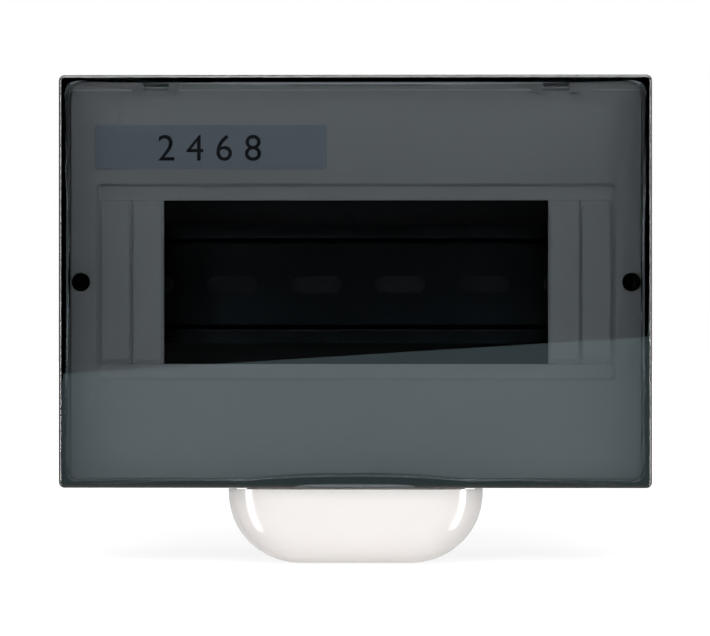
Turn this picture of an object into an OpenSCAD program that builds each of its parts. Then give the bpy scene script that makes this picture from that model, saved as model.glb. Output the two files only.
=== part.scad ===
// Eight-way breaker panel box for modular circuit breakers: a back box let into the wall or
// fixed on it, a white front cover with a device window, and a smoked door hinged at the top.
// +Z is up, the wall is the plane y = 0 and the door faces -Y. In the modules, "from" and "to"
// are distances out from the wall, so a solid at distance d lies at y = -d.

/* [Overall size] */
// Ways of one 18 mm module each across the window
ways = 8; // [7:1:12]
// Height of the front without the thumb lip
face_h = 115; // [114:1:130]
// Depth from the wall to the front of the door
overall_d = 77.7; // [76.5:0.1:84]

/* [Device window] */
// Width of one module
module_w = 18; // [17.5:0.1:18]
// Height of the window
window_h = 46.1; // [45:0.1:47]
// Half-module blanks closing each end of the window
blanks_per_side = 2; // [2:1:4]
// Margin of the shallow recess above and below the window
recess_margin = 3.8; // [3:0.2:6]

/* [Back box] */
// Thickness of the moulded walls
wall = 2.2; // [1.8:0.1:2.4]
// Depth of the back box from the wall to its front rim
box_d = 38.5; // [37:0.5:39.5]
// Distance between the wall-screw holes across the box
fix_x = 120; // [90:1:126]
// Distance between the wall-screw holes up the box
fix_z = 76; // [60:1:80]
// Radius of the wall-screw holes
fix_r = 2.5; // [2:0.1:3]
// Radius of the cable knock-outs
knockout_r = 10; // [8:0.5:12]

/* [Door] */
// Thickness of the door's front plate
door_plate = 2.2; // [1.8:0.1:2.6]
// Thickness of the door's side, top and bottom flanges
door_flange = 1.7; // [1.5:0.1:1.8]
// How far the flanges lean in from back to front
door_draft = 0.75; // [0.4:0.05:1]
// Width of the arch in the bottom flange, over the thumb lip
arch_w = 62; // [50:1:66]
// Rise of that arch
arch_rise = 1.2; // [0.8:0.1:1.4]

/* [Thumb lip] */
// Width of the lip
lip_w = 71.2; // [60:0.2:80]
// How far the lip hangs below the front
lip_drop = 21; // [20.5:0.1:26]
// Radius of its lower corners
lip_r = 19.8; // [14:0.2:20]

/* [Terminals] */
// Wire holes in each terminal bar
bar_ways = 8; // [4:1:8]
// Distance between two wire holes
bar_pitch = 7.6; // [7:0.1:7.8]

/* [Hidden] */
$fn = 64;
hull_fn = 32;
over = 0.5;

// Widths and heights
window_w = ways * module_w;
face_w = window_w + 21;
box_w = window_w + 1 + 2 * wall;
box_h = face_h - 11;
box_corner = 4;
face_corner = 2.5;

// Distances from the wall
rail_back_d = 5;
rail_post_x = window_w / 2 - 9.5;
rail_h = 7.5;
skirt_d = box_d - 2.5;
face_d = overall_d - 17.5;
recess_depth = 1.7;
recess_d = face_d - recess_depth;
ledge_d = face_d - 2.4;
door_back_d = face_d - 1.8;

// Hinge: the axis lies within the back edge of the door's top flange
door_gap = 0.5;
plateau_w = face_w - 2 * door_flange - 2 * door_gap;
plateau_bottom = -face_h / 2 + door_flange + door_gap;
axis_z = face_h / 2 - 1.5;
axis_d = face_d - 0.4;
groove_z = axis_z - 1.9;
groove_d = ledge_d - 0.6;
hinge_x = face_w / 2 - 26.4;
pin_r = 0.75;
pin_press = 0.02;
pin_play = 0.05;
knuckle_w = 7;
knuckle_r = 1.45;
ear_w = 3;
ear_r = 1.3;
ear_gap = 0.25;
ear_offset = knuckle_w / 2 + ear_gap + ear_w / 2;
pin_l = knuckle_w + 2 * ear_gap + 2 * ear_w - 0.2;

// Cover screws: M3.5, at the middle of the left and right edges
screw_x = face_w / 2 - 5.1;
well_r = 2.75;
seat_d = face_d - 4.6;
screw_r = 1.7;
screw_l = seat_d - 22;
boss_r = 2.8;
boss_d = skirt_d - 0.5;
thread_r = 1.75;
tube_r = 4;
tube_floor = 2;

// Two clips that hold the thumb lip, in slots through the cover's bottom wall
clip_x = 20;
clip_w = 6;
clip_t = 1.8;
clip_d = skirt_d + 11.3;

// Blanks
blank_w = module_w / 2;
blank_gap = 0.1;
pad_w = blank_w - 1.2;
pad_h = window_h - 2.5;
pad_r = 1.4;

// Terminal bars lie above and below the devices
bar_z = box_h / 2 - wall - 4.1;
bar_back_d = 13;
bar_depth = 8;
bar_h = 6;
bar_l = bar_ways * bar_pitch + 5.2;
wire_r = 2.1;
wire_d = bar_back_d + 4.5;
clamp_r = 1.6;

// The arch in the door's bottom flange is part of one large circle
arch_radius = (arch_w * arch_w / 4 + arch_rise * arch_rise) / (2 * arch_rise);
bottom_draft = door_draft * 0.75;
arch_tilt = atan(bottom_draft / (overall_d - door_back_d));

// ---------------------------------------------------------------- shared shapes

module rounded(w, h, r) {
    square([w - 2 * r, h], center = true);
    square([w, h - 2 * r], center = true);
    for (x = [-1, 1], y = [-1, 1])
        translate([x * (w / 2 - r), y * (h / 2 - r)])
            circle(r);
}

// A rounded plate parallel to the wall
module slab(w, h, r, from, to, x = 0, z = 0) {
    rotate([90, 0, 0])
        translate([x, z, from])
            linear_extrude(to - from)
                rounded(w, h, r);
}

// A plain block given by its middle in X and Z and its distances from the wall
module block(w, h, from, to, x = 0, z = 0) {
    translate([x - w / 2, -to, z - h / 2])
        cube([w, to - from, h]);
}

// A round bar or hole square to the wall
module peg(r, from, to, x = 0, z = 0) {
    translate([x, -from, z])
        rotate([90, 0, 0])
            cylinder(r = r, h = to - from);
}

// A round bar or hole along X about the hinge axis
module axle(r, x0, x1) {
    translate([x0, -axis_d, axis_z])
        rotate([0, 90, 0])
            cylinder(r = r, h = x1 - x0);
}

// A round bar or hole along Z
module upright(r, z0, z1, x, d) {
    translate([x, -d, z0])
        cylinder(r = r, h = z1 - z0);
}

// Pan-head cross-recess screw, its head resting on the plane at distance "seat"
module pan_screw(head_r, head_h, shank_r, shank_l, seat, x, z) {
    cross_l = head_r * 1.3;
    cross_w = head_r * 0.26;
    rim = 0.5;
    difference() {
        union() {
            peg(shank_r, seat - shank_l, seat + 0.01, x, z);
            peg(head_r, seat, seat + head_h - rim, x, z);
            translate([x, -(seat + head_h - rim), z])
                rotate([90, 0, 0])
                    cylinder(r1 = head_r, r2 = head_r - rim * 1.2, h = rim);
        }
        block(cross_l, cross_w, seat + head_h * 0.3, seat + head_h + over, x, z);
        block(cross_w, cross_l, seat + head_h * 0.3, seat + head_h + over, x, z);
    }
}

// Everything under the arch of the door's bottom flange, less a working gap
module under_arch(gap) {
    translate([0, -door_back_d, -face_h / 2 + arch_rise - arch_radius])
        rotate([90 + arch_tilt, 0, 0])
            translate([0, 0, -30])
                cylinder(r = arch_radius - gap, h = 60, $fn = 200);
}

// Everything under the door's bottom flange, arch and all, less a working gap
module under_door(gap) {
    reach = face_w / 2;
    under_arch(gap);
    translate([0, -door_back_d, -face_h / 2 - gap])
        rotate([-arch_tilt, 0, 0])
            translate([-reach, -reach / 2, -reach])
                cube([2 * reach, reach, reach]);
}

// The stretch of bottom flange that arches up over the lip
module arch_zone(from, to) {
    block(arch_w + 1, 8, from, to, 0, -face_h / 2 + 2);
}

// ---------------------------------------------------------------- back box

// The thin ring left round a cable knock-out, cut from outside
module knockout_ring(r) {
    score_w = 0.8;
    score_t = 0.9;
    difference() {
        cylinder(r = r, h = score_t * 2, center = true);
        cylinder(r = r - score_w, h = score_t * 3, center = true);
    }
}

module back_box_shell() {
    difference() {
        slab(box_w, box_h, box_corner, 0, box_d);
        slab(box_w - 2 * wall, box_h - 2 * wall, box_corner - wall / 2, wall, box_d + over);
    }
}

module back_box() {
    knock_x = box_w * 0.3;
    back_knock_x = knock_x * 0.55;
    rib_x = box_w * 0.37;
    rib_h = 2.2;
    color([0.09, 0.09, 0.1])
    difference() {
        union() {
            back_box_shell();
            // Pads under the ends of the rail
            for (side = [-1, 1])
                slab(14, 30, 1.5, wall - 0.1, rail_back_d, side * rail_post_x);
            // Raised seats round the wall-screw holes
            for (x = [-1, 1], z = [-1, 1])
                peg(fix_r + 2.5, wall - 0.1, wall + 1, x * fix_x / 2, z * fix_z / 2);
            // Columns that take the cover screws, outside the side walls
            for (side = [-1, 1]) {
                peg(boss_r, 6, boss_d, side * screw_x);
                block(screw_x - box_w / 2 + 1, 2.4, 8, boss_d - 1,
                    side * (screw_x + box_w / 2 - 1) / 2);
            }
            // Stiffening ribs inside the long walls
            for (x = [-1, 1], z = [-1, 1])
                block(1.6, rib_h, wall, box_d - 4, x * rib_x, z * (box_h / 2 - wall - 0.9));
        }
        for (x = [-1, 1], z = [-1, 1])
            peg(fix_r, -over, wall + 2, x * fix_x / 2, z * fix_z / 2);
        for (side = [-1, 1]) {
            peg(thread_r, boss_d - 16, boss_d + over, side * screw_x);
            peg(thread_r, 1.2, rail_back_d + over, side * rail_post_x);
        }
        // Cable knock-outs in the top, the bottom and the back
        for (x = [-knock_x, 0, knock_x], z = [-1, 1])
            translate([x, -box_d / 2, z * box_h / 2])
                knockout_ring(knockout_r);
        for (x = [-1, 1])
            translate([x * back_knock_x, 0, -box_h * 0.3])
                rotate([90, 0, 0])
                    knockout_ring(knockout_r);
    }
}

// ---------------------------------------------------------------- rail

rail_t = 1;
rail_w = 35;
channel_w = 27;
bend_r = 1.8;

module rail_bend(u, v, quarter_u, quarter_v) {
    translate([u, v])
        intersection() {
            difference() {
                circle(bend_r);
                circle(bend_r - rail_t);
            }
            translate([quarter_u > 0 ? 0 : -bend_r, quarter_v > 0 ? 0 : -bend_r])
                square(bend_r);
        }
}

// Half of the top-hat section: u up from the middle, v out from the back of the channel
module rail_half() {
    half = channel_w / 2;
    translate([-over, 0])
        square([half - bend_r + over, rail_t]);
    rail_bend(half - bend_r, bend_r, 1, -1);
    translate([half - rail_t, bend_r])
        square([rail_t, rail_h - 2 * bend_r]);
    rail_bend(half - rail_t + bend_r, rail_h - bend_r, -1, 1);
    translate([half - rail_t + bend_r, rail_h - rail_t])
        square([rail_w / 2 - half + rail_t - bend_r, rail_t]);
}

module din_rail() {
    rail_l = window_w - 1;
    slot_l = 15;
    slot_r = 2.6;
    slot_pitch = 25;
    color([0.3, 0.31, 0.32])
    difference() {
        translate([-rail_l / 2, -rail_back_d, 0])
            rotate([90, 0, 90])
                linear_extrude(rail_l)
                    rotate(90) {
                        rail_half();
                        mirror([1, 0])
                            rail_half();
                    }
        for (i = [-2.5 : 1 : 2.5])
            slab(slot_l, 2 * slot_r, slot_r - 0.001, rail_back_d - over, rail_back_d + rail_t + over,
                i * slot_pitch);
    }
}

module rail_screws() {
    color([0.78, 0.78, 0.76])
        for (side = [-1, 1])
            pan_screw(3.8, 2.4, screw_r, 4.3, rail_back_d + rail_t, side * rail_post_x, 0);
}

// ---------------------------------------------------------------- terminals

module carrier(z) {
    end_w = 4;
    nose = 0.8;
    strip_l = bar_l + 2 * end_w;
    slab(strip_l, bar_h, 0.8, wall, wall + 2.2, 0, z);
    for (x = [-0.32, 0.32])
        block(6, bar_h, wall + 1, bar_back_d, x * bar_l, z);
    for (side = [-1, 1]) {
        block(end_w, bar_h, wall + 1, bar_back_d + bar_depth + 1.6, side * (bar_l + end_w) / 2, z);
        block(nose + 1, bar_h - 2, bar_back_d + bar_depth, bar_back_d + bar_depth + 1.6,
            side * (bar_l / 2 - nose / 2 + 0.5), z);
    }
}

module terminal_bar(z) {
    difference() {
        slab(bar_l, bar_h, 0.6, bar_back_d, bar_back_d + bar_depth, 0, z);
        for (i = [0 : bar_ways - 1]) {
            x = (i - (bar_ways - 1) / 2) * bar_pitch;
            upright(wire_r, z - bar_h, z + bar_h, x, wire_d);
            peg(clamp_r, wire_d, bar_back_d + bar_depth + over, x, z);
        }
    }
}

// Slotted clamp screws, one over each wire hole
module terminal_screws(z) {
    head_r = 2.5;
    head_h = 1.8;
    front = bar_back_d + bar_depth;
    for (i = [0 : bar_ways - 1]) {
        x = (i - (bar_ways - 1) / 2) * bar_pitch;
        difference() {
            union() {
                peg(clamp_r - pin_play, wire_d + 1.6, front + 0.01, x, z);
                peg(head_r, front, front + head_h, x, z);
            }
            block(head_r * 3, 0.8, front + head_h - 0.9, front + head_h + over, x, z);
        }
    }
}

module neutral_carrier() {
    color([0.12, 0.3, 0.62]) carrier(bar_z);
}

module neutral_bar() {
    color([0.78, 0.62, 0.3]) terminal_bar(bar_z);
}

module neutral_screws() {
    color([0.75, 0.73, 0.68]) terminal_screws(bar_z);
}

module earth_carrier() {
    color([0.13, 0.45, 0.2]) carrier(-bar_z);
}

module earth_bar() {
    color([0.78, 0.62, 0.3]) terminal_bar(-bar_z);
}

module earth_screws() {
    color([0.75, 0.73, 0.68]) terminal_screws(-bar_z);
}

// ---------------------------------------------------------------- front cover

cover_in_w = face_w - 2 * wall;
cover_in_h = face_h - 2 * wall;
plateau_h = groove_z - plateau_bottom;
plateau_z = (groove_z + plateau_bottom) / 2;
recess_w = window_w + 0.4;
recess_h = window_h + 2 * recess_margin;

// Skirt round the sides, the groove along the top that the door swings in, and the plateau
module cover_outside() {
    edge = 0.8;
    difference() {
        slab(face_w, face_h, face_corner, skirt_d, ledge_d + 0.01);
        block(face_w + 2, face_h, groove_d, ledge_d + 1, 0, groove_z + face_h / 2);
    }
    difference() {
        union() {
            slab(plateau_w, plateau_h, 1.5, ledge_d - 1, face_d - edge, 0, plateau_z);
            hull() {
                slab(plateau_w, plateau_h, 1.5, face_d - edge - 0.01, face_d - edge,
                    0, plateau_z, $fn = hull_fn);
                slab(plateau_w - edge, plateau_h - edge, 1.1, face_d - 0.01, face_d,
                    0, plateau_z, $fn = hull_fn);
            }
        }
        // Shallow hollow along the bottom edge for the arched stretch of the door's flange
        intersection() {
            under_arch(-door_flange - door_gap);
            arch_zone(ledge_d, face_d + over);
        }
    }
}

module cover_inside() {
    under_groove = groove_z - wall;
    in_bottom = -cover_in_h / 2;
    in_mid_h = under_groove - in_bottom;
    deep_bottom = plateau_bottom + wall;
    slab(cover_in_w, cover_in_h, 1, skirt_d - over, groove_d - wall);
    slab(cover_in_w, in_mid_h, 1, groove_d - wall - 0.01, ledge_d - wall,
        0, (under_groove + in_bottom) / 2);
    difference() {
        slab(plateau_w - 2 * wall, under_groove - deep_bottom, 1, ledge_d - wall - 0.01, face_d - wall,
            0, (under_groove + deep_bottom) / 2);
        slab(recess_w + 3, recess_h + 3, 1, recess_d - wall, face_d);
    }
}

// Dished edge and floor of the recess round the window
module cover_recess() {
    slope = 0.9;
    hull() {
        slab(recess_w, recess_h, 0.8, recess_d, recess_d + 0.01, $fn = hull_fn);
        slab(recess_w + 2 * slope, recess_h + 2 * slope, 1.6, face_d + 0.2, face_d + 0.21, $fn = hull_fn);
    }
}

module hinge_ears(side) {
    for (k = [-1, 1]) {
        ear_x = side * hinge_x + k * ear_offset;
        axle(ear_r, ear_x - ear_w / 2, ear_x + ear_w / 2);
        block(ear_w, axis_z - groove_z + 1, groove_d - 1, axis_d + ear_r, ear_x,
            (axis_z + groove_z - 1) / 2);
    }
}

module front_cover() {
    rib_x = face_w * 0.31;
    rib_h = face_h / 2 - wall - box_h / 2 + 4;
    rib_z = (face_h / 2 - wall + box_h / 2 - 3.6) / 2;
    color([0.93, 0.93, 0.91])
    difference() {
        union() {
            difference() {
                cover_outside();
                cover_inside();
            }
            // Tubes round the cover screws
            for (side = [-1, 1])
                intersection() {
                    peg(tube_r, seat_d - tube_floor, face_d - 1, side * screw_x);
                    union() {
                        slab(face_w - 1, face_h, 2, seat_d - 3, ledge_d);
                        slab(plateau_w, face_h, 1, ledge_d - 0.01, face_d);
                    }
                }
            // Ribs that stop the cover on the back box's rim
            for (x = [-rib_x, 0, rib_x], z = [-1, 1])
                block(2, rib_h, box_d + 0.1, groove_d - 1, x, z * rib_z);
            for (side = [-1, 1])
                hinge_ears(side);
        }
        cover_recess();
        slab(window_w, window_h, 0.4, recess_d - 4, face_d);
        for (side = [-1, 1]) {
            peg(well_r, seat_d, face_d + over, side * screw_x);
            peg(screw_r + 0.25, seat_d - tube_floor - over, seat_d + over, side * screw_x);
            // The hinge pin's hole through both ears
            axle(pin_r - pin_press, side * hinge_x - knuckle_w, side * hinge_x + knuckle_w);
            // Slots for the thumb lip's two clips
            block(clip_w + 0.4, wall * 3, clip_d - 0.3, clip_d + clip_t + 0.9, side * clip_x, -face_h / 2);
        }
    }
}

// ---------------------------------------------------------------- thumb lip

lip_front_d = overall_d - 3.2;
lip_back_d = ledge_d + 0.4;
lip_edge_d = lip_back_d + 5;
lip_bottom = -face_h / 2 - lip_drop;
lip_corner_x = lip_w / 2 - lip_r;
lip_corner_z = lip_bottom + lip_r;
lip_steps = 14;
lip_power = 2.5;

// How far the pillow stands out at radius r of a corner, on a pillow drawn in by "inset"
function lip_rise(r, inset) = lip_edge_d - inset
    + (lip_front_d - lip_edge_d) * pow(1 - pow(r / (lip_r - inset), lip_power), 1 / lip_power);

// The pillow's section from its flat middle out to its edge
module lip_section(inset) {
    edge_r = lip_r - inset;
    polygon(concat(
        [[0, lip_back_d - inset]],
        [for (i = [0 : lip_steps]) let (r = edge_r * sin(90 * i / lip_steps)) [r, lip_rise(r, inset)]],
        [[edge_r, lip_back_d - inset]]
    ));
}

module lip_pillow(inset = 0) {
    top = -face_h / 2 + arch_rise;
    // Round corners
    for (side = [-1, 1])
        translate([side * lip_corner_x, 0, lip_corner_z])
            rotate([90, 0, 0])
                rotate_extrude(angle = 360)
                    lip_section(inset);
    // Side edges, straight up from the corners
    for (side = [-1, 1])
        translate([side * lip_corner_x, 0, lip_corner_z])
            linear_extrude(top - lip_corner_z)
                mirror([1 - side, 0])
                    mirror([0, 1])
                        lip_section(inset);
    // Bottom edge between the corners
    translate([-lip_corner_x, 0, lip_corner_z])
        rotate([90, 0, 90])
            linear_extrude(2 * lip_corner_x)
                mirror([1, 0])
                    rotate(-90)
                        lip_section(inset);
    block(2 * lip_corner_x, top - lip_corner_z, lip_back_d - inset, lip_front_d - inset,
        0, (top + lip_corner_z) / 2);
}

module thumb_lip() {
    tongue_t = 2;
    underside = -face_h / 2;
    pocket_top = underside - tongue_t;
    color([0.96, 0.95, 0.94]) {
        difference() {
            intersection() {
                lip_pillow();
                under_door(0.45);
            }
            // Hollow from behind
            intersection() {
                lip_pillow(wall);
                block(lip_w, lip_drop, lip_back_d - wall, lip_front_d, 0, pocket_top - lip_drop / 2);
            }
        }
        // Tongue along the underside of the cover, with two clips up through it
        block(lip_w - 10, tongue_t, skirt_d + 6, lip_back_d + 2, 0, underside - tongue_t / 2);
        for (side = [-1, 1]) {
            block(clip_w, wall + 1.4, clip_d, clip_d + clip_t, side * clip_x, underside + wall / 2 + 0.1);
            block(clip_w, 0.7, clip_d, clip_d + clip_t + 1, side * clip_x, underside + wall + 0.45);
        }
    }
}

// ---------------------------------------------------------------- label and blanks

module label_strip() {
    label_w = 65;
    label_h = 12.4;
    label_x = -window_w / 2 - 1.2 + label_w / 2;
    label_z = 37.9;
    color([0.85, 0.89, 0.93])
        slab(label_w, label_h, 0.5, face_d, face_d + 0.25, label_x, label_z);
}

// Half-module blank: a plate that fills the window, a raised pad and two snap legs
module blank(x) {
    plate_t = 1.8;
    leg_w = 5;
    leg_t = 1.2;
    leg_z = window_h / 2 - 0.25 - leg_t / 2;
    hook_to = recess_d - wall - 0.1;
    color([0.94, 0.94, 0.92]) {
        block(blank_w - blank_gap, window_h - 0.2, recess_d - plate_t, recess_d, x);
        slab(pad_w, pad_h, pad_r, recess_d - 0.1, recess_d + 1.5, x);
        for (side = [-1, 1]) {
            block(leg_w, leg_t, recess_d - plate_t - 4.4, recess_d - plate_t + 0.1, x, side * leg_z);
            block(leg_w, 1.2, hook_to - 1.2, hook_to, x, side * (leg_z + 0.9));
        }
    }
}

// Middle of a blank, counted inwards from the end of the window
function blank_x(i) = window_w / 2 - blank_w * (i + 0.5);

// Outer blanks are the ones at the ends; the inner node holds all the others of its side
module blank_left_outer() {
    blank(-blank_x(0));
}

module blank_left_inner() {
    for (i = [1 : 1 : blanks_per_side - 1])
        blank(-blank_x(i));
}

module blank_right_inner() {
    for (i = [1 : 1 : blanks_per_side - 1])
        blank(blank_x(i));
}

module blank_right_outer() {
    blank(blank_x(0));
}

// ---------------------------------------------------------------- cover screws

module cover_screw(side) {
    color([0.16, 0.16, 0.17])
        pan_screw(well_r - 0.2, 2.4, screw_r, screw_l, seat_d, side * screw_x, 0);
}

module cover_screw_left() {
    cover_screw(-1);
}

module cover_screw_right() {
    cover_screw(1);
}

// ---------------------------------------------------------------- hinge pins and door

module hinge_pin(side) {
    color([0.7, 0.7, 0.72])
        axle(pin_r, side * hinge_x - pin_l / 2, side * hinge_x + pin_l / 2);
}

module hinge_pin_left() {
    hinge_pin(-1);
}

module hinge_pin_right() {
    hinge_pin(1);
}

// Outside of the door tray at a distance from the wall, drawn in by "inset"
module door_level(d, inset, r) {
    lean = (d - door_back_d) / (overall_d - door_back_d);
    slab(face_w - 2 * lean * door_draft - 2 * inset, face_h - 2 * lean * bottom_draft - 2 * inset, r,
        d - 0.01, d, $fn = hull_fn);
}

module door_tray() {
    edge = 1;
    difference() {
        hull() {
            door_level(door_back_d + 0.01, 0, 2.5);
            door_level(overall_d - edge, 0, 2);
            door_level(overall_d, edge * 0.9, 1.2);
        }
        hull() {
            door_level(door_back_d - over, door_flange, 1.2);
            door_level(overall_d - door_plate, door_flange, 1.2);
        }
    }
}

module door() {
    color([0.2, 0.22, 0.22, 0.6])
    difference() {
        union() {
            door_tray();
            // Flange lifted over the lip
            intersection() {
                under_arch(-door_flange);
                arch_zone(door_back_d, overall_d - 1);
                hull() {
                    door_level(door_back_d + 0.01, 0.1, 2.4);
                    door_level(overall_d - 0.5, 0.1, 2);
                }
            }
            // Knuckles in the back edge of the top flange
            for (side = [-1, 1])
                axle(knuckle_r, side * hinge_x - knuckle_w / 2, side * hinge_x + knuckle_w / 2);
        }
        intersection() {
            under_arch(0);
            arch_zone(door_back_d - over, overall_d - door_plate * 0.8);
        }
        // Notches that clear the cover's ears, and the pin's hole
        for (side = [-1, 1]) {
            for (k = [-1, 1])
                block(ear_w + 2 * ear_gap, 4, door_back_d - over, axis_d + ear_r + 0.35,
                    side * hinge_x + k * ear_offset, axis_z);
            axle(pin_r + pin_play, side * hinge_x - knuckle_w, side * hinge_x + knuckle_w);
        }
    }
}

back_box();
din_rail();
rail_screws();
neutral_carrier();
neutral_bar();
neutral_screws();
earth_carrier();
earth_bar();
earth_screws();
front_cover();
thumb_lip();
label_strip();
blank_left_outer();
blank_left_inner();
blank_right_inner();
blank_right_outer();
cover_screw_left();
cover_screw_right();
hinge_pin_left();
hinge_pin_right();
door();
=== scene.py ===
import math

import bmesh
import bpy
from mathutils import Matrix, Vector


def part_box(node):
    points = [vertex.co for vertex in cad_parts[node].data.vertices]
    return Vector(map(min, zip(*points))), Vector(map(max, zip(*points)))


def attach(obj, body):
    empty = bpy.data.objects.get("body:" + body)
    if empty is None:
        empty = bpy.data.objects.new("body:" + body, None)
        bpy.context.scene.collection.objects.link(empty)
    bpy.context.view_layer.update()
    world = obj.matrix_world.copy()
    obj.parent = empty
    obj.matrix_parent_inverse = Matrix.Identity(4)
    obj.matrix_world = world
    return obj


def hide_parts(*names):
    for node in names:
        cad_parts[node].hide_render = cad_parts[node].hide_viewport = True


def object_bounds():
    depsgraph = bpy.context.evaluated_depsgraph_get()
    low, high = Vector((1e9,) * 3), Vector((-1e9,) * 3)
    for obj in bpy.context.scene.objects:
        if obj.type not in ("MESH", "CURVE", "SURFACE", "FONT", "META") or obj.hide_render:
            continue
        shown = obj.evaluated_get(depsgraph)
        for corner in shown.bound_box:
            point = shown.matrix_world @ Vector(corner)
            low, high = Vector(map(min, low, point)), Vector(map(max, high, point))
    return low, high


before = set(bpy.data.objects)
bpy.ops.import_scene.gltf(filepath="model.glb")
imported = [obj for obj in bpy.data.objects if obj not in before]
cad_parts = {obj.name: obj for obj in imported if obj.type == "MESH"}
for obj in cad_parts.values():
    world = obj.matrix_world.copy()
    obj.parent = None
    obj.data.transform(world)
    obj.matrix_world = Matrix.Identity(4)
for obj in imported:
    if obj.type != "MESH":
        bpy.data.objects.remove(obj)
cad_bounds = [list(corner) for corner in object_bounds()]
mm = 0.001

# ---------------------------------------------------------------- back box
# The deep tray that is fixed to the wall or let into it: black injection-moulded plastic with a
# fine spark-eroded texture, scored discs for the cables and a column at each side for the screws.


def softened(name, node, body, edge, segments=2):
    """The shape of a CAD node with its sharp edges slightly rounded, as a mould leaves them."""
    bm = bmesh.new()
    bm.from_mesh(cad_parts[node].data)
    bmesh.ops.remove_doubles(bm, verts=bm.verts, dist=0.002 * mm)
    bmesh.ops.dissolve_limit(
        bm, angle_limit=math.radians(0.6), verts=bm.verts, edges=bm.edges
    )
    piece = placed(name, bm, body)
    rounding = piece.modifiers.new("edge", "BEVEL")
    rounding.width = edge
    rounding.segments = segments
    rounding.limit_method = "ANGLE"
    rounding.angle_limit = math.radians(35)
    rounding.use_clamp_overlap = True
    rounding.harden_normals = True
    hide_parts(node)
    return piece


def placed(name, bm, body):
    """Makes a piece of a finished bmesh, shades it smooth between its sharp edges and rides it."""
    mesh = bpy.data.meshes.new(name)
    bm.to_mesh(mesh)
    bm.free()
    mesh.shade_smooth()
    mesh.set_sharp_from_angle(angle=math.radians(35))
    piece = bpy.data.objects.new(name, mesh)
    bpy.context.scene.collection.objects.link(piece)
    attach(piece, body)
    return piece


def shader_group(name, inputs, outputs):
    """An empty node group with its sockets, and its input and output nodes."""
    group = bpy.data.node_groups.new(name, "ShaderNodeTree")
    for label, value in inputs:
        socket = group.interface.new_socket(
            label, in_out="INPUT", socket_type="NodeSocketFloat"
        )
        socket.default_value = value
    for label in outputs:
        group.interface.new_socket(
            label, in_out="OUTPUT", socket_type="NodeSocketFloat"
        )
    return (
        group,
        group.nodes.new("NodeGroupInput"),
        group.nodes.new("NodeGroupOutput"),
    )


def mould_texture():
    """Grain of a spark-eroded mould: fine height, and broad cloudy differences of gloss."""
    group, start, end = shader_group(
        "mould_texture",
        [("Grain per metre", 3000.0), ("Cloud per metre", 40.0)],
        ["Grain", "Cloud"],
    )
    coords = group.nodes.new("ShaderNodeTexCoord")
    pits = group.nodes.new("ShaderNodeTexVoronoi")
    pits.feature = "SMOOTH_F1"
    speckle = group.nodes.new("ShaderNodeTexNoise")
    speckle.inputs["Detail"].default_value = 3.0
    cloud = group.nodes.new("ShaderNodeTexNoise")
    cloud.inputs["Detail"].default_value = 4.0
    both = group.nodes.new("ShaderNodeMath")
    both.operation = "ADD"
    half = group.nodes.new("ShaderNodeMath")
    half.operation = "MULTIPLY"
    half.inputs[1].default_value = 0.5
    link = group.links.new
    for texture in (pits, speckle, cloud):
        link(coords.outputs["Object"], texture.inputs["Vector"])
    link(start.outputs["Grain per metre"], pits.inputs["Scale"])
    link(start.outputs["Grain per metre"], speckle.inputs["Scale"])
    link(start.outputs["Cloud per metre"], cloud.inputs["Scale"])
    link(pits.outputs["Distance"], both.inputs[0])
    link(speckle.outputs["Fac"], both.inputs[1])
    link(both.outputs[0], half.inputs[0])
    link(half.outputs[0], end.inputs["Grain"])
    link(cloud.outputs["Fac"], end.inputs["Cloud"])
    return group


mould_grain = mould_texture()


def moulded_plastic(
    name, colour, shade, gloss, grain_per_m, grain_depth, bump=0.35, coat=0.0
):
    """Moulded plastic: colour drifts to shade in soft clouds, gloss is its (low, high) roughness."""
    material = bpy.data.materials.new(name)
    material.use_nodes = True
    nodes, link = material.node_tree.nodes, material.node_tree.links.new
    plastic = nodes["Principled BSDF"]
    plastic.inputs["IOR"].default_value = 1.53
    plastic.inputs["Coat Weight"].default_value = coat
    plastic.inputs["Coat Roughness"].default_value = 0.04
    texture = nodes.new("ShaderNodeGroup")
    texture.node_tree = mould_grain
    texture.inputs["Grain per metre"].default_value = grain_per_m
    tint = nodes.new("ShaderNodeMix")
    tint.data_type = "RGBA"
    tint.inputs[6].default_value = (*colour, 1.0)
    tint.inputs[7].default_value = (*shade, 1.0)
    rough = nodes.new("ShaderNodeMapRange")
    rough.inputs["To Min"].default_value = gloss[0]
    rough.inputs["To Max"].default_value = gloss[1]
    relief = nodes.new("ShaderNodeBump")
    relief.inputs["Strength"].default_value = bump
    relief.inputs["Distance"].default_value = grain_depth
    link(texture.outputs["Cloud"], tint.inputs[0])
    link(texture.outputs["Cloud"], rough.inputs["Value"])
    link(texture.outputs["Grain"], relief.inputs["Height"])
    link(tint.outputs[2], plastic.inputs["Base Color"])
    link(rough.outputs["Result"], plastic.inputs["Roughness"])
    link(relief.outputs["Normal"], plastic.inputs["Normal"])
    return material


black_plastic = moulded_plastic(
    "black_box_plastic",
    (0.030, 0.033, 0.037),
    (0.038, 0.041, 0.045),
    (0.42, 0.58),
    2600.0,
    0.06 * mm,
)
back_box = softened("back_box_shell", "back_box", "back_box", 0.3 * mm)
back_box.data.materials.append(black_plastic)

# ---------------------------------------------------------------- mounting rail
# Roll-formed 35 mm steel rail, black passivated zinc, on two pads of the box. The rolls leave
# fine lines along it and the finish is slightly cloudy. Two pan-head screws hold it.


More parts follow.
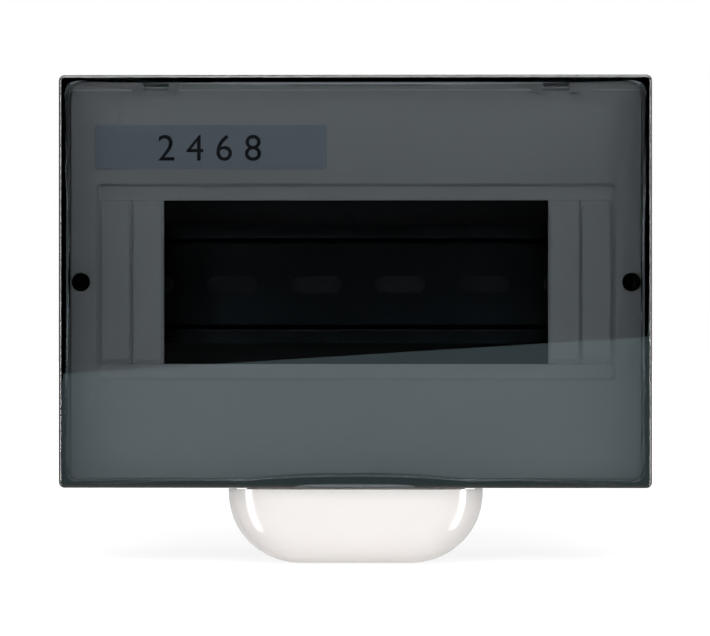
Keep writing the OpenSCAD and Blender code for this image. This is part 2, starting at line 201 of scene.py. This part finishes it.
def drawn_metal_texture():
    """Fine lines along X, as rolling or drawing leaves them, and broad clouds of plating."""
    group, start, end = shader_group(
        "drawn_metal_texture",
        [("Lines per metre", 4000.0), ("Cloud per metre", 60.0)],
        ["Lines", "Cloud"],
    )
    coords = group.nodes.new("ShaderNodeTexCoord")
    stretch = group.nodes.new("ShaderNodeMapping")
    stretch.inputs["Scale"].default_value = (0.02, 1.0, 1.0)
    lines = group.nodes.new("ShaderNodeTexNoise")
    lines.inputs["Detail"].default_value = 3.0
    cloud = group.nodes.new("ShaderNodeTexNoise")
    cloud.inputs["Detail"].default_value = 5.0
    link = group.links.new
    link(coords.outputs["Object"], stretch.inputs["Vector"])
    link(stretch.outputs["Vector"], lines.inputs["Vector"])
    link(coords.outputs["Object"], cloud.inputs["Vector"])
    link(start.outputs["Lines per metre"], lines.inputs["Scale"])
    link(start.outputs["Cloud per metre"], cloud.inputs["Scale"])
    link(lines.outputs["Fac"], end.inputs["Lines"])
    link(cloud.outputs["Fac"], end.inputs["Cloud"])
    return group


drawn_lines = drawn_metal_texture()


def plated_metal(name, colour, dull, gloss, lines_per_m, line_depth):
    """Plated or bare metal: colour fades to dull in clouds, gloss is its (low, high) roughness."""
    material = bpy.data.materials.new(name)
    material.use_nodes = True
    nodes, link = material.node_tree.nodes, material.node_tree.links.new
    metal = nodes["Principled BSDF"]
    metal.inputs["Metallic"].default_value = 1.0
    texture = nodes.new("ShaderNodeGroup")
    texture.node_tree = drawn_lines
    texture.inputs["Lines per metre"].default_value = lines_per_m
    tint = nodes.new("ShaderNodeMix")
    tint.data_type = "RGBA"
    tint.inputs[6].default_value = (*colour, 1.0)
    tint.inputs[7].default_value = (*dull, 1.0)
    rough = nodes.new("ShaderNodeMapRange")
    rough.inputs["To Min"].default_value = gloss[0]
    rough.inputs["To Max"].default_value = gloss[1]
    relief = nodes.new("ShaderNodeBump")
    relief.inputs["Strength"].default_value = 0.3
    relief.inputs["Distance"].default_value = line_depth
    link(texture.outputs["Cloud"], tint.inputs[0])
    link(texture.outputs["Lines"], rough.inputs["Value"])
    link(texture.outputs["Lines"], relief.inputs["Height"])
    link(tint.outputs[2], metal.inputs["Base Color"])
    link(rough.outputs["Result"], metal.inputs["Roughness"])
    link(relief.outputs["Normal"], metal.inputs["Normal"])
    return material


black_zinc = plated_metal(
    "black_passivated_zinc",
    (0.070, 0.078, 0.082),
    (0.055, 0.060, 0.064),
    (0.14, 0.24),
    4500.0,
    0.001 * mm,
)
zinc = plated_metal(
    "zinc_plated_steel",
    (0.60, 0.61, 0.62),
    (0.44, 0.45, 0.47),
    (0.24, 0.36),
    4500.0,
    0.005 * mm,
)


def finish_node(node, material):
    """Gives a CAD node that is shown as it is its material."""
    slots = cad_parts[node].data.materials
    slots.clear()
    slots.append(material)


finish_node("din_rail", black_zinc)
rail_screws = softened(
    "rail_screw_pair", "rail_screws", "back_box", 0.15 * mm
)
rail_screws.data.materials.append(zinc)

# ---------------------------------------------------------------- terminal bars
# A drilled brass bar for the neutral wires above the rail and one for the earth wires below it,
# each snapped into a coloured plastic carrier, with a slotted nickel-plated screw per wire.

brass = plated_metal(
    "drawn_brass",
    (0.80, 0.60, 0.28),
    (0.58, 0.42, 0.19),
    (0.2, 0.36),
    6000.0,
    0.008 * mm,
)
nickel = plated_metal(
    "nickel_plate",
    (0.66, 0.64, 0.60),
    (0.50, 0.48, 0.45),
    (0.18, 0.32),
    5000.0,
    0.006 * mm,
)
blue_plastic = moulded_plastic(
    "blue_carrier_plastic",
    (0.02, 0.10, 0.36),
    (0.03, 0.13, 0.42),
    (0.22, 0.34),
    1800.0,
    0.03 * mm,
)
green_plastic = moulded_plastic(
    "green_carrier_plastic",
    (0.02, 0.20, 0.07),
    (0.03, 0.25, 0.09),
    (0.22, 0.34),
    1800.0,
    0.03 * mm,
)
for wire, carrier_finish, carrier_slot in (
    ("neutral", blue_plastic, "blue_plastic"),
    ("earth", green_plastic, "green_plastic"),
):
    carrier = softened(
        f"{wire}_bar_carrier", f"{wire}_carrier", "back_box", 0.25 * mm
    )
    carrier.data.materials.append(carrier_finish)
    bar = softened(
        f"{wire}_terminal_bar", f"{wire}_bar", "back_box", 0.12 * mm
    )
    bar.data.materials.append(brass)
    clamps = softened(
        f"{wire}_clamp_screws", f"{wire}_screws", "back_box", 0.1 * mm
    )
    clamps.data.materials.append(nickel)

# ---------------------------------------------------------------- front cover
# White satin plastic: a shallow lid over the box with a dished edge round the device window, a
# groove along the top for the door to swing in, two screw wells and two pairs of hinge ears.

white_plastic = moulded_plastic(
    "white_cover_plastic",
    (0.80, 0.80, 0.785),
    (0.76, 0.76, 0.745),
    (0.34, 0.46),
    3200.0,
    0.05 * mm,
)
front_cover = softened(
    "front_cover_lid", "front_cover", "front_cover", 0.35 * mm
)
front_cover.data.materials.append(white_plastic)

# ---------------------------------------------------------------- window blanks
# Half-module blanks that close the two ends of the window: each is a thin plate with a raised,
# round-cornered pad and two snap legs, moulded in the same white plastic.

for place in ("left_outer", "left_inner", "right_inner", "right_outer"):
    blank = softened(
        f"window_blank_{place}",
        f"blank_{place}",
        "front_cover",
        0.22 * mm,
        3,
    )
    blank.data.materials.append(white_plastic)

# ---------------------------------------------------------------- cover screws
# Captive cross-recess screws, one in each well at the sides of the cover, in black zinc-plated
# steel. They pass through the cover into the columns of the box.

black_steel = plated_metal(
    "black_zinc_plate",
    (0.016, 0.016, 0.018),
    (0.010, 0.010, 0.012),
    (0.3, 0.45),
    3000.0,
    0.01 * mm,
)
for side in ("left", "right"):
    cover_screw = softened(
        f"captive_screw_{side}",
        f"cover_screw_{side}",
        f"cover_screw_{side}",
        0.12 * mm,
    )
    cover_screw.data.materials.append(black_steel)

# ---------------------------------------------------------------- hinge pins
# Two short pins of drawn steel wire, pressed into the cover's ears.

wire_steel = plated_metal(
    "drawn_wire",
    (0.55, 0.55, 0.56),
    (0.42, 0.42, 0.43),
    (0.16, 0.26),
    3500.0,
    0.004 * mm,
)
for side in ("left", "right"):
    finish_node(f"hinge_pin_{side}", wire_steel)

# ---------------------------------------------------------------- label strip
# Self-adhesive printed label, pale blue-grey satin vinyl, stuck on above the window. Its plain
# black numerals name the ways of the box.

label_low, label_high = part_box("label_strip")
numeral_height = 7.6 * mm
numeral_share = 0.729
numeral_from_left = 17.4 * mm
ink_thickness = 0.03 * mm

vinyl = moulded_plastic(
    "label_vinyl",
    (0.56, 0.615, 0.68),
    (0.53, 0.585, 0.65),
    (0.3, 0.4),
    900.0,
    0.01 * mm,
)
label = softened("label_sticker", "label_strip", "front_cover", 0.06 * mm)
label.data.materials.append(vinyl)

ink = moulded_plastic(
    "label_ink", (0.006, 0.006, 0.007), (0.01, 0.01, 0.011), (0.3, 0.45), 900.0, 0.01 * mm
)
lettering = bpy.data.curves.new("label_lettering", "FONT")
lettering.body = "2 4 6 8"
lettering.size = numeral_height / numeral_share
lettering.extrude = ink_thickness / 2
letter_object = bpy.data.objects.new("label_lettering", lettering)
bpy.context.scene.collection.objects.link(letter_object)
bpy.context.view_layer.update()
bm = bmesh.new()
bm.from_mesh(letter_object.evaluated_get(bpy.context.evaluated_depsgraph_get()).to_mesh())
bpy.data.objects.remove(letter_object)
bmesh.ops.remove_doubles(bm, verts=bm.verts, dist=0.002 * mm)
bmesh.ops.rotate(bm, verts=bm.verts, matrix=Matrix.Rotation(math.radians(90), 3, "X"))
bmesh.ops.translate(
    bm,
    verts=bm.verts,
    vec=(
        label_low.x + numeral_from_left,
        label_low.y - ink_thickness / 2,
        (label_low.z + label_high.z - numeral_height) / 2,
    ),
)
numerals = placed("label_numerals", bm, "front_cover")
numerals.data.materials.append(ink)

# ---------------------------------------------------------------- thumb lip
# Glossy white moulding that hangs below the door, so that a thumb can push against it while the
# door is lifted. A hollow pillow, open at the back, with a tongue and two clips under the cover.

lip_low, lip_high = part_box("thumb_lip")
door_low, door_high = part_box("door")
lip_corner = 19.8 * mm
lip_edge_y = -63.2 * mm
lip_depth = -lip_low.y + lip_edge_y
lip_back_y = -58.2 * mm
lip_wall = 2.2 * mm
lip_rings = 18
lip_fullness = 2.5
pillow_middle = 0.25 * mm
arch_width = 62 * mm
arch_rise = 1.2 * mm
arch_radius = (arch_width**2 / 4 + arch_rise**2) / (2 * arch_rise)
lip_gap = 0.45 * mm
lip_top_z = door_low.z + arch_rise - lip_gap
underside_lean = 0.0291
cover_bottom_z = door_low.z
tongue_thick = 2 * mm
tongue = (61.2 * mm, 18.2 * mm, tongue_thick)
tongue_y = -51.1 * mm
clip_x = 20 * mm
clip_width = 6 * mm
clip_stem = (clip_width, 1.8 * mm, 3.6 * mm)
clip_stem_y = -48.2 * mm
clip_stem_z = cover_bottom_z + 1.2 * mm
clip_hook = (clip_width, 2.8 * mm, 0.7 * mm)
clip_hook_y = -48.7 * mm
clip_hook_z = cover_bottom_z + 2.65 * mm


def pillow_out(from_middle):
    """How far the pillow stands out at a distance from the middle of a corner."""
    share = (1 - (from_middle / lip_corner) ** lip_fullness) ** (1 / lip_fullness)
    return lip_depth * share


def sag(x):
    """How far the arch has dropped at x, below its highest point."""
    return arch_radius - math.sqrt(arch_radius**2 - x * x)


def lip_ceiling(x, y):
    """Height of the lip's top edge under the door: the arch, or the straight flange beside it."""
    lean = (lip_back_y - y) * underside_lean
    return max(lip_top_z - sag(x) - lean, door_low.z - lip_gap + lean)


def carve(piece, operation, tool_bm):
    """Adds a tool shape to a piece, or cuts it out, and keeps the plain result."""
    tool_mesh = bpy.data.meshes.new("tool")
    tool_bm.to_mesh(tool_mesh)
    tool_bm.free()
    tool = bpy.data.objects.new("tool", tool_mesh)
    bpy.context.scene.collection.objects.link(tool)
    cut = piece.modifiers.new("cut", "BOOLEAN")
    cut.object = tool
    cut.operation = operation
    cut.solver = "EXACT"
    bpy.context.view_layer.update()
    result = bpy.data.meshes.new_from_object(
        piece.evaluated_get(bpy.context.evaluated_depsgraph_get())
    )
    piece.modifiers.clear()
    piece.data = result
    bpy.data.objects.remove(tool)


def block(bm, size, middle):
    """Adds a rectangular block to a tool shape."""
    corners = bmesh.ops.create_cube(bm, size=1.0)["verts"]
    bmesh.ops.scale(bm, verts=corners, vec=size)
    bmesh.ops.translate(bm, verts=corners, vec=middle)


bm = bmesh.new()
bmesh.ops.create_grid(bm, x_segments=1, y_segments=1, size=0.5)
half_height = lip_top_z - lip_low.z + lip_corner
bmesh.ops.scale(bm, verts=bm.verts, vec=(lip_high.x - lip_low.x, half_height, 1))
bmesh.ops.rotate(bm, verts=bm.verts, matrix=Matrix.Rotation(math.radians(90), 3, "X"))
bmesh.ops.translate(
    bm, verts=bm.verts, vec=(0, lip_edge_y, lip_low.z + half_height / 2)
)
bmesh.ops.bevel(
    bm,
    geom=bm.verts[:],
    offset=lip_corner * 0.9999,
    segments=20,
    profile=0.5,
    affect="VERTICES",
    material=-1,
)
bm.normal_update()
rim_edges = bm.edges[:]
cap = bm.faces[:]
radii = [
    lip_corner * math.sin(math.radians(90 * (1 - i / lip_rings)))
    for i in range(lip_rings)
] + [pillow_middle]
for outer, inner in zip(radii, radii[1:]):
    bmesh.ops.inset_region(
        bm,
        faces=cap,
        thickness=outer - inner,
        depth=pillow_out(inner) - pillow_out(outer),
        use_boundary=True,
        use_even_offset=True,
    )
skirt = bmesh.ops.extrude_edge_only(bm, edges=rim_edges)
bmesh.ops.translate(
    bm,
    verts=[v for v in skirt["geom"] if isinstance(v, bmesh.types.BMVert)],
    vec=(0, lip_back_y - lip_edge_y, 0),
)
bmesh.ops.bisect_plane(
    bm,
    geom=bm.verts[:] + bm.edges[:] + bm.faces[:],
    plane_co=(0, 0, lip_top_z),
    plane_no=(0, 0, 1),
    clear_outer=True,
)
top_edges = [
    e for e in bm.edges if all(abs(v.co.z - lip_top_z) < 0.001 * mm for v in e.verts)
]
bmesh.ops.contextual_create(bm, geom=top_edges)
bmesh.ops.recalc_face_normals(bm, faces=bm.faces)
reach = lip_top_z - (lip_low.z + lip_corner)
for v in bm.verts:
    climb = max(0.0, (v.co.z - lip_low.z - lip_corner) / reach)
    v.co.z += (lip_ceiling(v.co.x, v.co.y) - lip_top_z) * climb
thumb_lip = placed("thumb_lip_moulding", bm, "front_cover")
shell = thumb_lip.modifiers.new("wall", "SOLIDIFY")
shell.thickness = lip_wall
shell.offset = -1
shell.use_even_offset = True
hold = bmesh.new()
block(hold, tongue, (0, tongue_y, cover_bottom_z - tongue_thick / 2))
for side in (-1, 1):
    block(hold, clip_stem, (side * clip_x, clip_stem_y, clip_stem_z))
    block(hold, clip_hook, (side * clip_x, clip_hook_y, clip_hook_z))
carve(thumb_lip, "UNION", hold)
thumb_lip.data.shade_smooth()
thumb_lip.data.set_sharp_from_angle(angle=math.radians(35))
rounding = thumb_lip.modifiers.new("edge", "BEVEL")
rounding.width = 0.35 * mm
rounding.segments = 3
rounding.limit_method = "ANGLE"
rounding.angle_limit = math.radians(50)
rounding.harden_normals = True
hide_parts("thumb_lip")

gloss_white = moulded_plastic(
    "gloss_white_plastic",
    (0.90, 0.86, 0.835),
    (0.885, 0.845, 0.82),
    (0.13, 0.19),
    60.0,
    0.05 * mm,
    0.1,
    0.2,
)
thumb_lip.data.materials.append(gloss_white)

# ---------------------------------------------------------------- door
# Shallow tray of clear smoked plastic, injection moulded and polished. Its top flange carries two
# knuckles that turn on the pins, and its bottom flange arches up over the thumb lip.

door_back_y = -58.4 * mm
door_front_y = door_low.y
door_lean_x = 0.75 * mm
door_lean_z = 0.56 * mm
door_plate = 2.2 * mm
door_flange = 1.7 * mm
corner_back = 2.3 * mm
corner_front = 1.6 * mm
front_rounding = 0.95 * mm
inner_corner = 2.1 * mm
inner_fillet = 1.3 * mm
hinge_x = 56.1 * mm
hinge_y = -59.8 * mm
hinge_z = door_high.z - 1.5 * mm
pin_radius = 0.75 * mm
knuckle_radius = 1.45 * mm
knuckle_width = 7 * mm
ear_offset = 5.25 * mm
notch_front_y = hinge_y - 1.65 * mm
notch_back_y = door_back_y + 1 * mm
notch_middle_y = (notch_back_y + notch_front_y) / 2
notch = (3.5 * mm, notch_back_y - notch_front_y, 4 * mm)
bore_clearance = 0.05 * mm
flat_margin = 0.3 * mm


def face_of(bm, direction):
    """The face that lies farthest out in a direction."""
    return max(bm.faces, key=lambda f: f.calc_center_median().dot(Vector(direction)))


def ease_corners(verts, half_w, half_h, radius, scale):
    """Tightens the round corners of one outline from radius to scale times it."""
    for v in verts:
        corner = Vector((math.copysign(half_w, v.co.x), v.co.y, math.copysign(half_h, v.co.z)))
        away = v.co - corner
        if abs(away.x) < radius * 1.01 and abs(away.z) < radius * 1.01:
            v.co = corner + Vector((away.x * scale, away.y, away.z * scale))


def door_tray():
    """The tray as one closed shell, with round corners, a rounded front rim and draft."""
    bm = bmesh.new()
    bmesh.ops.create_cube(bm, size=1.0)
    for v in bm.verts:
        lean = 1 if v.co.y < 0 else 0
        v.co = (
            math.copysign(door_high.x - lean * door_lean_x, v.co.x),
            door_front_y if lean else door_back_y,
            math.copysign(door_high.z - lean * door_lean_z, v.co.z),
        )
    bmesh.ops.bevel(
        bm,
        geom=[e for e in bm.edges if abs(e.verts[0].co.y - e.verts[1].co.y) > 5 * mm],
        offset=corner_back,
        segments=10,
        profile=0.5,
        affect="EDGES",
        material=-1,
    )
    ease_corners(
        [v for v in bm.verts if v.co.y < door_front_y + 0.01 * mm],
        door_high.x - door_lean_x,
        door_high.z - door_lean_z,
        corner_back,
        corner_front / corner_back,
    )
    bm.normal_update()
    back = face_of(bm, (0, 1, 0))
    bmesh.ops.inset_region(bm, faces=[back], thickness=door_flange, use_even_offset=True)
    ease_corners(
        list(back.verts),
        door_high.x - door_flange,
        door_high.z - door_flange,
        corner_back - door_flange,
        inner_corner / (corner_back - door_flange),
    )
    deep = bmesh.ops.extrude_discrete_faces(bm, faces=[back])["faces"][0]
    floor_y = door_front_y + door_plate
    for v in deep.verts:
        v.co.x -= math.copysign(door_lean_x, v.co.x)
        v.co.y = floor_y
        v.co.z -= math.copysign(door_lean_z, v.co.z)
    bmesh.ops.bevel(
        bm,
        geom=deep.edges[:],
        offset=inner_fillet,
        segments=5,
        profile=0.5,
        affect="EDGES",
        material=-1,
    )
    bm.normal_update()
    facing_back = [f for f in bm.faces if f.normal.y > 0.99]
    inner_floor = max(facing_back, key=lambda f: f.calc_area())
    bmesh.ops.inset_region(bm, faces=[inner_floor], thickness=flat_margin, use_even_offset=True)
    bmesh.ops.bevel(
        bm,
        geom=face_of(bm, (0, -1, 0)).edges[:],
        offset=front_rounding,
        segments=6,
        profile=0.5,
        affect="EDGES",
        material=-1,
    )
    bm.normal_update()
    bmesh.ops.inset_region(
        bm, faces=[face_of(bm, (0, -1, 0))], thickness=flat_margin, use_even_offset=True
    )
    return bm


def arch_bottom_flange(bm):
    """Lifts the middle of the bottom flange behind the front plate, as one large arc."""
    step_y = (door_front_y + 1.8 * mm, door_front_y + 2.1 * mm)
    cuts = 28
    outer_z = -56 * mm
    flange_z = -50 * mm
    for y in step_y:
        outside = [f for f in bm.faces if f.normal.z < -0.99 and f.verts[0].co.z < outer_z]
        bmesh.ops.bisect_plane(
            bm,
            geom=outside + list({e for f in outside for e in f.edges}),
            plane_co=(0, y, 0),
            plane_no=(0, 1, 0),
        )
    for i in range(cuts + 1):
        bottom = [f for f in bm.faces if all(v.co.z < flange_z for v in f.verts)]
        bmesh.ops.bisect_plane(
            bm,
            geom=bottom + list({e for f in bottom for e in f.edges}),
            plane_co=((i / cuts - 0.5) * arch_width, 0, 0),
            plane_no=(1, 0, 0),
        )
    for v in bm.verts:
        behind_plate = v.co.y > step_y[0] + 0.05 * mm
        if v.co.z < flange_z and behind_plate and abs(v.co.x) < arch_width / 2:
            v.co.z += arch_rise - sag(v.co.x)


def across(bm, radius, middle_x, width, sides=48):
    """Adds a round bar along X about the hinge axis."""
    bar = bmesh.ops.create_cone(
        bm, cap_ends=True, segments=sides, radius1=radius, radius2=radius, depth=width
    )
    quarter_turn = Matrix.Rotation(math.radians(90), 3, "Y")
    bmesh.ops.rotate(bm, verts=bar["verts"], matrix=quarter_turn)
    bmesh.ops.translate(bm, verts=bar["verts"], vec=(middle_x, hinge_y, hinge_z))


bm = door_tray()
arch_bottom_flange(bm)
smoked_door = placed("smoked_door", bm, "door")
notches = bmesh.new()
for side in (-1, 1):
    for end in (-1, 1):
        notch_x = side * hinge_x + end * ear_offset
        block(notches, notch, (notch_x, notch_middle_y, hinge_z))
carve(smoked_door, "DIFFERENCE", notches)
knuckles = bmesh.new()
for side in (-1, 1):
    across(knuckles, knuckle_radius, side * hinge_x, knuckle_width)
carve(smoked_door, "UNION", knuckles)
bores = bmesh.new()
for side in (-1, 1):
    across(bores, pin_radius + bore_clearance, side * hinge_x, knuckle_width + 2 * mm)
carve(smoked_door, "DIFFERENCE", bores)
smoked_door.data.shade_smooth()
smoked_door.data.set_sharp_from_angle(angle=math.radians(35))
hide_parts("door")

smoked = bpy.data.materials.new("clear_smoked_plastic")
smoked.use_nodes = True
smoked_nodes = smoked.node_tree.nodes
smoked_link = smoked.node_tree.links.new
clear = smoked_nodes["Principled BSDF"]
clear.inputs["Transmission Weight"].default_value = 1.0
clear.inputs["IOR"].default_value = 1.55
clear.inputs["Roughness"].default_value = 0.0
smoke = smoked_nodes.new("ShaderNodeVolumeAbsorption")
smoke.inputs["Color"].default_value = (0.03, 0.085, 0.13, 1)
smoke.inputs["Density"].default_value = 430.0
smoked_link(
    smoke.outputs["Volume"], smoked_nodes["Material Output"].inputs["Volume"]
)
# Painted shade: the door's side flanges get a far darker base colour than the front plate, so that
# they pass little light and the cover's left and right margins behind them fall darker.
across_door = smoked_nodes.new("ShaderNodeTexCoord")
split = smoked_nodes.new("ShaderNodeSeparateXYZ")
from_middle = smoked_nodes.new("ShaderNodeMath")
from_middle.operation = "ABSOLUTE"
flange_edge_x = door_high.x - door_lean_x
flange_shade_mask = smoked_nodes.new("ShaderNodeMapRange")
flange_shade_mask.inputs["From Min"].default_value = flange_edge_x - 1.9 * mm
flange_shade_mask.inputs["From Max"].default_value = flange_edge_x - 1.6 * mm
tint = smoked_nodes.new("ShaderNodeMix")
tint.data_type = "RGBA"
tint.inputs[6].default_value = (1, 1, 1, 1)
tint.inputs[7].default_value = (0.10, 0.115, 0.12, 1)
smoked_link(across_door.outputs["Object"], split.inputs[0])
smoked_link(split.outputs["X"], from_middle.inputs[0])
smoked_link(from_middle.outputs[0], flange_shade_mask.inputs["Value"])
smoked_link(flange_shade_mask.outputs["Result"], tint.inputs[0])
smoked_link(tint.outputs[2], clear.inputs["Base Color"])
smoked_door.data.materials.append(smoked)

# ---------------------------------------------------------------- studio
# A plain pale floor and white surroundings, with soft lamps at the sides, above and in front. Three
# sheen lamps show only as reflections on gloss. A dark board stands behind the camera, over a pale
# one, so that the flat door mirrors a dark room above a pale edge.

low, high = [Vector(corner) for corner in cad_bounds]
centre = (low + high) / 2
camera_distance = 0.96
camera_aside = 0.012
camera_height = centre.z + 0.42 * mm


def stage_plane(name, size, place, turn, material):
    """A flat sheet of the studio, size (width, height), turned by Euler angles in degrees."""
    bm = bmesh.new()
    bmesh.ops.create_grid(bm, x_segments=1, y_segments=1, size=0.5)
    bmesh.ops.scale(bm, verts=bm.verts, vec=(*size, 1))
    mesh = bpy.data.meshes.new(name)
    bm.to_mesh(mesh)
    bm.free()
    sheet = bpy.data.objects.new(name, mesh)
    sheet.rotation_euler = [math.radians(angle) for angle in turn]
    sheet.location = place
    mesh.materials.append(material)
    bpy.context.scene.collection.objects.link(sheet)
    return sheet


floor_paper = bpy.data.materials.new("floor_paper")
floor_paper.use_nodes = True
paper_nodes, paper_link = floor_paper.node_tree.nodes, floor_paper.node_tree.links.new
paper = paper_nodes["Principled BSDF"]
paper.inputs["Base Color"].default_value = (0.80, 0.80, 0.80, 1)
paper.inputs["Roughness"].default_value = 0.9
paper.inputs["Specular IOR Level"].default_value = 0.1
paper.inputs["Emission Color"].default_value = (1, 1, 1, 1)
seen = paper_nodes.new("ShaderNodeLightPath")
place_on_floor = paper_nodes.new("ShaderNodeTexCoord")
from_object = paper_nodes.new("ShaderNodeVectorMath")
from_object.operation = "LENGTH"
fade = paper_nodes.new("ShaderNodeMapRange")
fade.interpolation_type = "SMOOTHSTEP"
fade.inputs["From Min"].default_value = 0.08
fade.inputs["From Max"].default_value = 0.6
fade.inputs["To Min"].default_value = 0.78
fade.inputs["To Max"].default_value = 1.0
lift = paper_nodes.new("ShaderNodeMath")
lift.operation = "MULTIPLY"
paper_link(place_on_floor.outputs["Object"], from_object.inputs[0])
paper_link(from_object.outputs["Value"], fade.inputs["Value"])
paper_link(fade.outputs["Result"], lift.inputs[0])
paper_link(seen.outputs["Is Camera Ray"], lift.inputs[1])
paper_link(lift.outputs[0], paper.inputs["Emission Strength"])
floor = stage_plane("floor", (8, 8), (0, 0, low.z - 0.5 * mm), (0, 0, 0), floor_paper)
floor.visible_glossy = False


def board(name, colour):
    """Flat unlit board material of a given brightness."""
    material = bpy.data.materials.new(name)
    material.use_nodes = True
    nodes, link = material.node_tree.nodes, material.node_tree.links.new
    nodes.remove(nodes["Principled BSDF"])
    glow = nodes.new("ShaderNodeEmission")
    glow.inputs["Color"].default_value = (*colour, 1)
    link(glow.outputs[0], nodes["Material Output"].inputs["Surface"])
    return material


board_y = low.y - 1.12
board_width = 1.2
board_turn = (90, -3.6, 0)
edge_height = -0.0316
dark_height = 0.8
pale_height = 0.5
dark_board = stage_plane(
    "dark_board",
    (board_width, dark_height),
    (0, board_y, edge_height + dark_height / 2),
    board_turn,
    board("dark", (0, 0, 0)),
)
pale_board = stage_plane(
    "pale_board",
    (board_width, pale_height),
    (0, board_y - 0.01, edge_height - pale_height / 2),
    board_turn,
    board("pale", (0.52, 0.72, 0.77)),
)
for sheet in (dark_board, pale_board):
    sheet.visible_camera = False
    sheet.visible_diffuse = False
    sheet.visible_shadow = False


def soft_lamp(name, place, size, power):
    """A rectangular soft lamp, size (width, height), aimed at the middle of the object."""
    lamp = bpy.data.lights.new(name, "AREA")
    lamp.shape = "RECTANGLE"
    lamp.size = size[0]
    lamp.size_y = size[1]
    lamp.energy = power
    holder = bpy.data.objects.new(name, lamp)
    holder.location = place
    holder.rotation_euler = (centre - Vector(place)).to_track_quat("-Z", "Y").to_euler()
    holder.visible_camera = False
    bpy.context.scene.collection.objects.link(holder)
    return holder


soft_lamp("lamp_left", (-0.95, -0.80, 0.0), (0.16, 0.8), 3.8)
soft_lamp("lamp_right", (1.0, -0.80, 0.0), (0.16, 0.8), 4.6)
soft_lamp("lamp_above", (0.0, -0.85, 0.70), (1.4, 0.5), 3.6)
for side in (-1, 1):
    front_lamp = soft_lamp(
        f"lamp_front_{side}", (side * 0.42, -0.98, -0.10), (0.4, 0.5), 5.2
    )
    front_lamp.visible_glossy = False
for name, place, size, power in (
    ("sheen_left", (-0.93, -0.79, -0.30), (0.30, 1.2), 11.0),
    ("sheen_right", (0.98, -0.79, -0.30), (0.30, 1.2), 11.0),
    ("sheen_ceiling", (0.0, -0.30, 0.62), (1.4, 0.8), 20.0),
):
    sheen = soft_lamp(name, place, size, power)
    sheen.visible_diffuse = False
    sheen.visible_transmission = False

world = bpy.data.worlds.new("white_surround")
world.use_nodes = True
bpy.context.scene.world = world
world_nodes, world_link = world.node_tree.nodes, world.node_tree.links.new
surround = world_nodes["Background"]
surround.inputs["Color"].default_value = (1, 1, 1, 1)
path = world_nodes.new("ShaderNodeLightPath")
either = world_nodes.new("ShaderNodeMath")
either.operation = "MAXIMUM"
any_of = world_nodes.new("ShaderNodeMath")
any_of.operation = "MAXIMUM"
level = world_nodes.new("ShaderNodeMapRange")
level.inputs["To Min"].default_value = 0.13
level.inputs["To Max"].default_value = 1.0
world_link(path.outputs["Is Camera Ray"], either.inputs[0])
world_link(path.outputs["Is Glossy Ray"], either.inputs[1])
world_link(either.outputs[0], any_of.inputs[0])
world_link(path.outputs["Is Transmission Ray"], any_of.inputs[1])
world_link(any_of.outputs[0], level.inputs["Value"])
world_link(level.outputs["Result"], surround.inputs["Strength"])

camera_data = bpy.data.cameras.new("camera")
camera_data.sensor_width = 36
camera_data.lens = 162.5
camera_data.clip_start = 0.05
camera = bpy.data.objects.new("camera", camera_data)
camera.location = (camera_aside, -camera_distance, camera_height)
aim = Vector((0, low.y, camera_height)) - camera.location
camera.rotation_euler = aim.to_track_quat("-Z", "Y").to_euler()
bpy.context.scene.collection.objects.link(camera)
bpy.context.scene.camera = camera
bpy.context.scene.view_settings.view_transform = "Standard"
